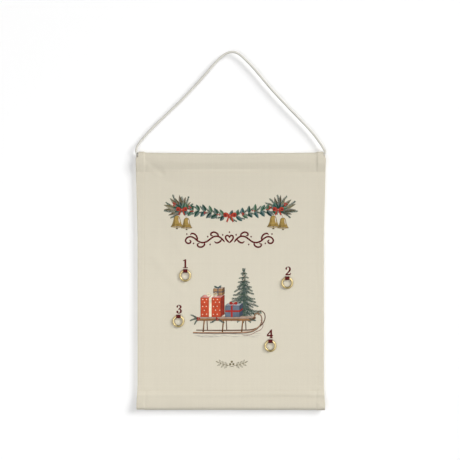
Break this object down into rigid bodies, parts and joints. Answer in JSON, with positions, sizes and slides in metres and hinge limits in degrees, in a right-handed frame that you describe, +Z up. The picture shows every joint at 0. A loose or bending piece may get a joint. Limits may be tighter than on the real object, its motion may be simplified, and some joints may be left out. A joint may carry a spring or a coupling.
{
  "type": "advent calendar wall hanging",
  "caption": "Hemmed cotton canvas panel between two dowels on a hanging cord, with numbered brass rings lashed to its front for tying on small gifts.",
  "frame": {"origin": "underside of the hanging cord at its highest point, on the panel's centre line, where a hook carries it", "axes": "+X to the viewer's right along the dowels, -Y towards the viewer, +Z up; the wall is on the +Y side"},
  "size_m": [0.3569, 0.0152, 0.6721],
  "materials": {
    "cream_canvas": "matt plain-weave cotton canvas",
    "cotton_cord": "matt twisted cotton",
    "cream_thread": "matt sewing thread",
    "red_thread": "soft embroidery thread",
    "dowel_wood": "bare sanded beech",
    "ring_brass": "polished pale brass"
  },
  "bodies": {
    "hanger": {"hanging_cord": "cotton_cord", "top_dowel": "dowel_wood"},
    "panel": {"canvas_panel": "cream_canvas", "top_seam_thread": "cream_thread", "bottom_seam_thread": "cream_thread", "left_hem_thread": "cream_thread", "right_hem_thread": "cream_thread", "ring_stitch_1": "red_thread", "ring_stitch_2": "red_thread", "ring_stitch_3": "red_thread", "ring_stitch_4": "red_thread", "number_1": "red_thread", "number_2": "red_thread", "number_3": "red_thread", "number_4": "red_thread"},
    "bottom_rod": {"bottom_dowel": "dowel_wood"},
    "gift_ring_1": {"ring_1": "ring_brass"},
    "gift_ring_2": {"ring_2": "ring_brass"},
    "gift_ring_3": {"ring_3": "ring_brass"},
    "gift_ring_4": {"ring_4": "ring_brass"}
  },
  "joints": [
    {"name": "panel_swing", "type": "hinge", "parent": "hanger", "child": "panel", "pos_m": [0, 0, -0.1927], "axis": [-1, 0, 0], "range_deg": [0, 90]},
    {"name": "bottom_dowel_slide", "type": "slide", "parent": "panel", "child": "bottom_rod", "axis": [1, 0, 0], "range_m": [0, 0.36]},
    {"name": "ring_1_swing", "type": "hinge", "parent": "panel", "child": "gift_ring_1", "pos_m": [-0.08488, -0.00435, -0.40692], "axis": [-1, 0, 0], "range_deg": [0, 160]},
    {"name": "ring_2_swing", "type": "hinge", "parent": "panel", "child": "gift_ring_2", "pos_m": [0.10535, -0.00435, -0.42036], "axis": [-1, 0, 0], "range_deg": [0, 160]},
    {"name": "ring_3_swing", "type": "hinge", "parent": "panel", "child": "gift_ring_3", "pos_m": [-0.09765, -0.00435, -0.49188], "axis": [-1, 0, 0], "range_deg": [0, 160]},
    {"name": "ring_4_swing", "type": "hinge", "parent": "panel", "child": "gift_ring_4", "pos_m": [0.07385, -0.00435, -0.53796], "axis": [-1, 0, 0], "range_deg": [0, 160]}
  ]
}
